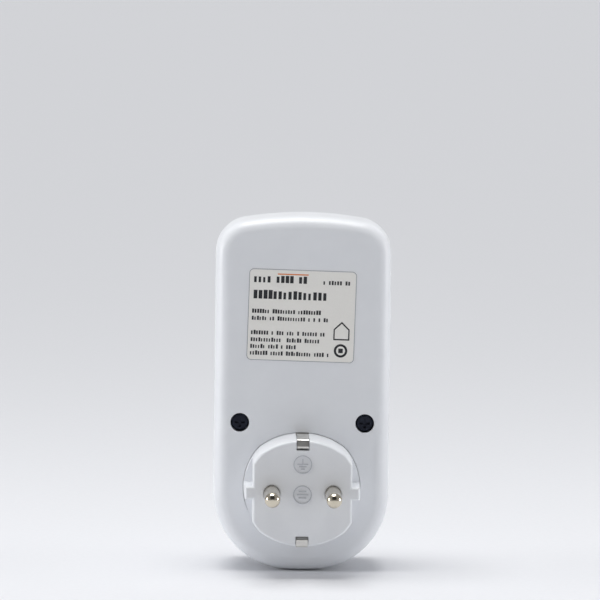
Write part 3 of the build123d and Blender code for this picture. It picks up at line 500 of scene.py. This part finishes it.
for row in frame["record"]["subparts"]:
    cad_mesh = frame["nodes"][row["node"]].data
    cad_mesh.materials.clear()
    cad_mesh.materials.append(finishes[row["material_slot"]])


# ---------------------------------------------------------------- prints and moulded marks


def mesh_piece(name, mesh, body):
    """Puts a finished mesh, already at its place, on a body."""
    piece = bpy.data.objects.new(name, mesh)
    bpy.context.scene.collection.objects.link(piece)
    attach(piece, body)


def add_slab(shape, outline, place, rise):
    """A flat shape that stands proud of its face. The outline runs round in the face's own
    metres, across and up, and place turns it into the row frame with its own Z outwards."""
    foot = [shape.verts.new(place @ Vector((x, y, 0.0))) for x, y in outline]
    head = [shape.verts.new(place @ Vector((x, y, rise))) for x, y in outline]
    count = len(outline)
    shape.faces.new(head)
    shape.faces.new(list(reversed(foot)))
    for i in range(count):
        j = (i + 1) % count
        shape.faces.new((foot[i], foot[j], head[j], head[i]))


def add_band(shape, outer, inner, place, rise):
    """A flat closed band with square edges, between two outlines of as many corners each."""
    loops = [
        [shape.verts.new(place @ Vector((x, y, height))) for x, y in outline]
        for outline, height in ((outer, 0.0), (outer, rise), (inner, rise), (inner, 0.0))
    ]
    count = len(outer)
    for k in range(4):
        first, second = loops[k], loops[(k + 1) % 4]
        for i in range(count):
            j = (i + 1) % count
            shape.faces.new((first[i], first[j], second[j], second[i]))


def rounded_rectangle(centre, width, height, radius, steps=12):
    """Corners of a rectangle whose four corners are arcs. With no straight run it is a circle."""
    outline = []
    for quarter, (right, up) in enumerate(((1, 1), (-1, 1), (-1, -1), (1, -1))):
        arc_x = centre[0] + right * (width / 2 - radius)
        arc_y = centre[1] + up * (height / 2 - radius)
        for i in range(steps):
            turn = math.pi / 2 * (quarter + (i + 0.5) / steps)
            outline.append((arc_x + radius * math.cos(turn), arc_y + radius * math.sin(turn)))
    return outline


def add_ring(shape, centre, radius, width, place, rise):
    """A flat ring, as a closed band with square edges."""
    outer = rounded_rectangle(centre, 2 * radius, 2 * radius, radius)
    hole = radius - width
    inner = rounded_rectangle(centre, 2 * hole, 2 * hole, hole)
    add_band(shape, outer, inner, place, rise)


def bar(x, y, width, height):
    """Corners of an upright bar about a centre."""
    return [
        (x - width / 2, y - height / 2),
        (x + width / 2, y - height / 2),
        (x + width / 2, y + height / 2),
        (x - width / 2, y + height / 2),
    ]


def finished_mesh(name, shape, material):
    """Closes a bmesh into a mesh of one material, with its faces outwards."""
    bmesh.ops.recalc_face_normals(shape, faces=shape.faces)
    mesh = bpy.data.meshes.new(name)
    shape.to_mesh(mesh)
    shape.free()
    mesh.materials.append(material)
    return mesh


# Faces that carry prints. Each matrix takes (across, up, outwards) to the row frame. Seen from
# behind, X runs to the left, and seen from the front it runs to the right.
looking_from_behind = Matrix(((-1, 0, 0, 0), (0, 0, 1, 0), (0, 1, 0, 0), (0, 0, 0, 1)))
looking_from_front = Matrix(((1, 0, 0, 0), (0, 0, -1, 0), (0, 1, 0, 0), (0, 0, 0, 1)))

# Plug face: an earth mark in a ring above the pins, and a ring of plain bars between them
mark_rise = 0.25 * MM
mark_ring_radius = 2.9 * MM
mark_ring_width = 0.32 * MM
mark_stroke = 0.32 * MM
earth_mark_z = 9.05 * MM
plain_mark_z = -0.35 * MM
plug_place = Matrix.Translation((0, plug_face_y, 0)) @ looking_from_behind

marks = bmesh.new()
for z in (earth_mark_z, plain_mark_z):
    add_ring(marks, (0, z), mark_ring_radius, mark_ring_width, plug_place, mark_rise)
# Level strokes: the mark's middle, then each stroke's height over it and its width, in mm
mark_strokes = [bar(0, earth_mark_z + 1.0 * MM, mark_stroke, 1.5 * MM)]
for middle_z, strokes in (
    (earth_mark_z, ((0.1, 3.4), (-0.65, 2.3), (-1.4, 1.2))),
    (plain_mark_z, ((1.0, 2.4), (0.0, 3.6), (-1.0, 2.4))),
):
    for lift, width in strokes:
        mark_strokes.append(bar(0, middle_z + lift * MM, width * MM, mark_stroke))
for outline in mark_strokes:
    add_slab(marks, outline, plug_place, mark_rise)
# The marks are the case's white plastic, drawn darker as painted shade along their edges
mesh_piece(
    "plug_face_marks",
    finished_mesh("plug_face_marks", marks, shaded_mark_plastic),
    "case",
)


# Label print. Lines of words are drawn as small blocks with gaps, so they read as print but say
# nothing. One tree makes a line; every line of the label is one run of it.
ink_rise = 0.02 * MM


def block_line_tree():
    """A line of block letters: Length long, Height tall, one every Pitch, some left out as
    spaces between words."""
    tree = bpy.data.node_groups.new("block_letter_line", "GeometryNodeTree")
    tree.is_modifier = True
    face = tree.interface
    face.new_socket("Geometry", in_out="INPUT", socket_type="NodeSocketGeometry")
    for name in ("Length", "Height", "Pitch", "Rise"):
        face.new_socket(name, in_out="INPUT", socket_type="NodeSocketFloat")
    face.new_socket("Seed", in_out="INPUT", socket_type="NodeSocketInt")
    face.new_socket("Ink", in_out="INPUT", socket_type="NodeSocketMaterial")
    face.new_socket("Geometry", in_out="OUTPUT", socket_type="NodeSocketGeometry")
    given = add_node(tree, "NodeGroupInput").outputs
    count = add_node(
        tree,
        "ShaderNodeMath",
        {0: given["Length"], 1: given["Pitch"]},
        operation="DIVIDE",
    )
    step = add_node(tree, "ShaderNodeCombineXYZ", {"X": given["Pitch"]})
    line = add_node(
        tree,
        "GeometryNodeMeshLine",
        {"Count": count.outputs[0], "Offset": step.outputs[0]},
        mode="OFFSET",
    )
    gap = add_node(
        tree,
        "FunctionNodeRandomValue",
        {"Probability": 0.15, "Seed": given["Seed"]},
        data_type="BOOLEAN",
    )
    words = add_node(
        tree,
        "GeometryNodeDeleteGeometry",
        {"Geometry": line.outputs["Mesh"], "Selection": gap.outputs[3]},
        domain="POINT",
    )
    block = add_node(tree, "GeometryNodeMeshCube", {"Size": (1.0, 1.0, 1.0)})
    standing = add_node(
        tree,
        "GeometryNodeTransform",
        {"Geometry": block.outputs["Mesh"], "Translation": (0.5, 0.5, 0.5)},
    )
    wide = add_node(
        tree,
        "FunctionNodeRandomValue",
        {2: 0.45, 3: 0.8, "Seed": given["Seed"]},
        data_type="FLOAT",
    )
    tall = add_node(
        tree,
        "FunctionNodeRandomValue",
        {2: 0.7, 3: 1.0, "Seed": given["Seed"]},
        data_type="FLOAT",
    )
    width = add_node(
        tree, "ShaderNodeMath", {0: wide.outputs[1], 1: given["Pitch"]}, operation="MULTIPLY"
    )
    height = add_node(
        tree, "ShaderNodeMath", {0: tall.outputs[1], 1: given["Height"]}, operation="MULTIPLY"
    )
    size = add_node(
        tree,
        "ShaderNodeCombineXYZ",
        {"X": width.outputs[0], "Y": height.outputs[0], "Z": given["Rise"]},
    )
    letters = add_node(
        tree,
        "GeometryNodeInstanceOnPoints",
        {
            "Points": words.outputs["Geometry"],
            "Instance": standing.outputs["Geometry"],
            "Scale": size.outputs[0],
        },
    )
    real = add_node(
        tree, "GeometryNodeRealizeInstances", {"Geometry": letters.outputs["Instances"]}
    )
    inked = add_node(
        tree,
        "GeometryNodeSetMaterial",
        {"Geometry": real.outputs["Geometry"], "Material": given["Ink"]},
    )
    add_node(tree, "NodeGroupOutput", {"Geometry": inked.outputs["Geometry"]})
    return tree


def baked(tree, values):
    """Runs a tree with the named inputs and returns the plain mesh that it makes."""
    carrier = bpy.data.objects.new("carrier", bpy.data.meshes.new("carrier"))
    bpy.context.scene.collection.objects.link(carrier)
    modifier = carrier.modifiers.new("tree", "NODES")
    modifier.node_group = tree
    for item in tree.interface.items_tree:
        if item.in_out == "INPUT" and item.name in values:
            modifier[item.identifier] = values[item.name]
    graph = bpy.context.evaluated_depsgraph_get()
    mesh = bpy.data.meshes.new_from_object(carrier.evaluated_get(graph), depsgraph=graph)
    bpy.data.objects.remove(carrier)
    return mesh


def joined(name, parts, material):
    """One mesh of one material out of (mesh, matrix) pairs."""
    shape = bmesh.new()
    for mesh, place in parts:
        mesh.transform(place)
        shape.from_mesh(mesh)
    for polygon in shape.faces:
        polygon.material_index = 0
    return finished_mesh(name, shape, material)


label_width = 33.6 * MM
label_height = 28.7 * MM
label_turn = 1.4
label_middle = (label_low + label_high) / 2
# From the label's upper left corner as its reader sees it, right and down, to the row frame
label_place = (
    Matrix.Translation((label_middle.x, label_face_y, label_middle.z))
    @ Matrix.Rotation(math.radians(-label_turn), 4, "Y")
    @ looking_from_behind
    @ Matrix.Translation((-label_width / 2, label_height / 2, 0))
)

letter_line = block_line_tree()
# Each line: left end, baseline, length and height from the label's corner, and letter pitch, in mm
label_lines = [
    (23.2, 4.4, 9.2, 1.4, 0.86),
    (1.3, 13.9, 22.3, 1.35, 0.80),
    (1.3, 16.1, 24.6, 1.35, 0.80),
    (1.2, 20.6, 23.2, 1.35, 0.80),
    (1.2, 22.8, 21.6, 1.35, 0.80),
    (1.1, 24.9, 14.5, 1.35, 0.80),
    (1.1, 27.0, 25.0, 1.35, 0.80),
]
title_lines = [(1.6, 9.4, 25.2, 2.8, 1.55), (1.6, 4.3, 19.4, 2.3, 1.4)]
printed = []
for seed, (left, baseline, length, height, pitch) in enumerate(title_lines + label_lines):
    values = {
        "Length": length * MM,
        "Height": height * MM,
        "Pitch": pitch * MM,
        "Rise": ink_rise,
        "Seed": seed,
        "Ink": label_ink,
    }
    place = label_place @ Matrix.Translation((left * MM, -baseline * MM, 0))
    printed.append((baked(letter_line, values), place))
mesh_piece("label_print", joined("label_print", printed, label_ink), "case")

# Accent line over the header
accent_line = bar(13.7 * MM, -1.55 * MM, 9.6 * MM, 0.35 * MM)
accent = bmesh.new()
add_slab(accent, accent_line, label_place, ink_rise)
mesh_piece(
    "label_accent_line",
    finished_mesh("label_accent_line", accent, accent_ink),
    "case",
)

# Painted shade: a hair of grey along the film's cut edge, for the shadow of the film's thickness
edge_width = 0.22 * MM
edge_inset = 0.03 * MM
label_corner = 1.5 * MM
label_centre = (label_width / 2, -label_height / 2)
edge_outlines = [
    rounded_rectangle(
        label_centre, label_width - 2 * inset, label_height - 2 * inset, label_corner - inset
    )
    for inset in (edge_inset, edge_inset + edge_width)
]
shade_outline_mesh = bmesh.new()
add_band(shade_outline_mesh, edge_outlines[0], edge_outlines[1], label_place, ink_rise)
mesh_piece(
    "label_edge_shade",
    finished_mesh("label_edge_shade", shade_outline_mesh, edge_shade_film),
    "case",
)

# Two plain pictograms beside the text: a house outline, and a ring with a square in it
house = [(26.9, -21.6), (31.9, -21.6), (31.9, -18.2), (29.4, -15.8), (26.9, -18.2)]
house_inside = [(27.3, -21.2), (31.5, -21.2), (31.5, -18.4), (29.4, -16.4), (27.3, -18.4)]
ring_centre = (29.3 * MM, -24.9 * MM)
ring_radius = 2.1 * MM
ring_width = 0.7 * MM
square_side = 1.4 * MM
pictograms = bmesh.new()
add_band(
    pictograms,
    [(x * MM, y * MM) for x, y in house],
    [(x * MM, y * MM) for x, y in house_inside],
    label_place,
    ink_rise,
)
add_ring(pictograms, ring_centre, ring_radius, ring_width, label_place, ink_rise)
add_slab(pictograms, bar(*ring_centre, square_side, square_side), label_place, ink_rise)
mesh_piece(
    "label_pictograms",
    finished_mesh("label_pictograms", pictograms, label_ink),
    "case",
)


# Key legends, printed on each key: three menu lines, two arrows, and a ring with a bar
def key_place(name):
    """From a key's middle to its front face, turned with the key."""
    low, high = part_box(f"{name}_key")
    middle = (low + high) / 2
    turn = math.radians(key_turns[name])
    return (
        Matrix.Translation((middle.x, low.y, middle.z))
        @ looking_from_front
        @ Matrix.Rotation(turn, 4, "Z")
    )


key_turns = {"function": 8.0, "up": 3.0, "down": -3.0, "cost": -8.0}
arrow = [(-1.5, -0.9), (1.5, -0.9), (0.0, 1.2)]
menu_line_length = 2.8 * MM
menu_line_gap = 0.8 * MM
legend_stroke = 0.36 * MM
legend_ring_radius = 1.35 * MM
legend_ring_width = 0.34 * MM
legend_bar_height = 1.2 * MM
for name in key_turns:
    place = key_place(name)
    legend = bmesh.new()
    if name == "function":
        for row in (-1, 0, 1):
            line = bar(0, row * menu_line_gap, menu_line_length, legend_stroke)
            add_slab(legend, line, place, ink_rise)
    elif name == "cost":
        add_ring(legend, (0, 0), legend_ring_radius, legend_ring_width, place, ink_rise)
        add_slab(legend, bar(0, 0, legend_stroke, legend_bar_height), place, ink_rise)
    else:
        flip = 1 if name == "up" else -1
        corners = [(x * MM, flip * y * MM) for x, y in arrow]
        add_slab(legend, corners[::flip], place, ink_rise)
    mesh_piece(
        f"{name}_key_legend",
        finished_mesh(f"{name}_key_legend", legend, key_ink),
        f"{name}_button",
    )


# Captions over the keys, pad-printed as short block words
caption_length = 5.6 * MM
caption_height = 0.9 * MM
caption_gap = 0.6 * MM
caption_pitch = 0.7 * MM
caption_first_seed = 20
captions = []
for seed, name in enumerate(key_turns):
    low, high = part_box(f"{name}_key")
    values = {
        "Length": caption_length,
        "Height": caption_height,
        "Pitch": caption_pitch,
        "Rise": ink_rise,
        "Seed": caption_first_seed + seed,
        "Ink": caption_ink,
    }
    left = (low.x + high.x - caption_length) / 2
    place = Matrix.Translation((left, front_face_y, high.z + caption_gap)) @ looking_from_front
    captions.append((baked(letter_line, values), place))
mesh_piece("key_captions", joined("key_captions", captions, caption_ink), "case")


# Display: rows of seven-segment zeros, lying on the LCD behind the window
def add_zero(shape, left, foot, height, place):
    """A zero of six segments with mitred ends; its width is 0.55 of its height."""
    width = 0.55 * height
    thick = 0.12 * height
    gap = 0.02 * height
    lean = 0.08
    half = height / 2
    level_bar = [
        (gap, 0),
        (thick / 2 + gap, thick / 2),
        (width - thick / 2 - gap, thick / 2),
        (width - gap, 0),
        (width - thick / 2 - gap, -thick / 2),
        (thick / 2 + gap, -thick / 2),
    ]
    upright_bar = [
        (0, gap),
        (thick / 2, thick / 2 + gap),
        (thick / 2, half - thick / 2 - gap),
        (0, half - gap),
        (-thick / 2, half - thick / 2 - gap),
        (-thick / 2, thick / 2 + gap),
    ]
    segments = [(level_bar, 0, 0), (level_bar, 0, height)]
    segments += [(upright_bar, x, y) for x in (0, width) for y in (0, half)]
    for outline, across, up in segments:
        corners = [
            (left + across + x + lean * (up + y), foot + up + y) for x, y in outline
        ]
        add_slab(shape, corners, place, ink_rise)


lcd_middle = (lcd_low + lcd_high) / 2
lcd_place = Matrix.Translation((lcd_middle.x, lcd_face_y, lcd_middle.z)) @ looking_from_front
# Each row: left end, foot and height from the display's middle, in mm
display_rows = [(-15.0, 7.4, 5.0), (-12.4, -4.6, 8.6), (-15.0, -12.8, 4.8)]
zeros_in_row = 4
# Parts of the figures' height: the step between figures, and the stop before the last one
figure_step = 0.82
stop_across = 2.32
stop_up = 0.02
stop_side = 0.13
figures = bmesh.new()
for row in display_rows:
    left, foot, height = (value * MM for value in row)
    for i in range(zeros_in_row):
        add_zero(figures, left + i * figure_step * height, foot, height, lcd_place)
    stop = bar(
        left + stop_across * height, foot + stop_up * height, stop_side * height, stop_side * height
    )
    add_slab(figures, stop, lcd_place, ink_rise)
mesh_piece(
    "display_figures",
    finished_mesh("display_figures", figures, segment_film),
    "case",
)

# ---------------------------------------------------------------- floor, light and camera

floor_half = 12.0
floor_mesh = bpy.data.meshes.new("studio_floor")
floor_mesh.from_pydata(
    [
        (-floor_half, -floor_half, floor_z),
        (floor_half, -floor_half, floor_z),
        (floor_half, floor_half, floor_z),
        (-floor_half, floor_half, floor_z),
    ],
    [],
    [(0, 1, 2, 3)],
)
floor_mesh.materials.append(pressed_paper_floor())
studio_floor = bpy.data.objects.new("studio_floor", floor_mesh)
bpy.context.scene.collection.objects.link(studio_floor)

world = bpy.data.worlds.new("pale_studio")
world.use_nodes = True
sky = world.node_tree
sky.nodes.clear()
# Pale all round, with a dim patch of ceiling on the plug's side that polished metal mirrors
dim_patch_height = math.radians(38)
dim_patch = Vector((0, math.cos(dim_patch_height), math.sin(dim_patch_height)))
facing = add_node(
    sky,
    "ShaderNodeVectorMath",
    {0: add_node(sky, "ShaderNodeTexCoord").outputs["Generated"], 1: dim_patch},
    operation="DOT_PRODUCT",
)
strength = add_node(
    sky,
    "ShaderNodeMapRange",
    {
        "Value": facing.outputs["Value"],
        "From Min": 0.78,
        "From Max": 0.92,
        "To Min": 0.40,
        "To Max": 0.05,
    },
)
background = add_node(
    sky,
    "ShaderNodeBackground",
    {"Color": linear("#F3F4F6"), "Strength": strength.outputs["Result"]},
)
add_node(sky, "ShaderNodeOutputWorld", {"Surface": background.outputs["Background"]})
bpy.context.scene.world = world

# A broad overhead light, even over the whole floor
overhead = bpy.data.lights.new("overhead_light", "SUN")
overhead.energy = 1.8
overhead.angle = math.radians(40)
overhead_lamp = bpy.data.objects.new("overhead_light", overhead)
overhead_lamp.rotation_euler = Vector((0.10, -0.05, 1.0)).to_track_quat("Z", "Y").to_euler()
bpy.context.scene.collection.objects.link(overhead_lamp)

# Each softbox: name, place, size across and up in metres, and power in watts
softboxes = [
    ("left_softbox", (0.70, 0.04, 0.14), (0.30, 0.28), 1.8),
    ("right_softbox", (-0.70, 0.04, 0.14), (0.30, 0.28), 1.5),
    ("top_softbox", (0.0, -0.02, 0.50), (0.30, 0.30), 0.50),
]
aim = Vector((0, -0.02, 0.03))
for name, place, size, power in softboxes:
    light = bpy.data.lights.new(name, "AREA")
    light.shape = "RECTANGLE"
    light.size, light.size_y = size
    light.energy = power
    lamp = bpy.data.objects.new(name, light)
    lamp.location = place
    lamp.rotation_euler = (Vector(place) - aim).to_track_quat("Z", "Y").to_euler()
    bpy.context.scene.collection.objects.link(lamp)

bpy.context.scene.view_settings.view_transform = "Standard"

camera_data = bpy.data.cameras.new("camera")
camera_data.sensor_width = 36.0
camera_data.lens = 388.8
camera = bpy.data.objects.new("camera", camera_data)
bpy.context.scene.collection.objects.link(camera)
camera_aim = Vector((1.5 * MM, 0, 60.2 * MM))
camera_distance = 2.0
camera_height = math.radians(5.3)
camera_swing = math.radians(1.0)
camera_roll = math.radians(0.7)
back = Vector(
    (
        math.cos(camera_height) * math.sin(camera_swing),
        math.cos(camera_height) * math.cos(camera_swing),
        math.sin(camera_height),
    )
)
camera.location = camera_aim + back * camera_distance
camera.rotation_euler = (
    back.to_track_quat("Z", "Y") @ Quaternion((0, 0, 1), camera_roll)
).to_euler()
bpy.context.scene.camera = camera
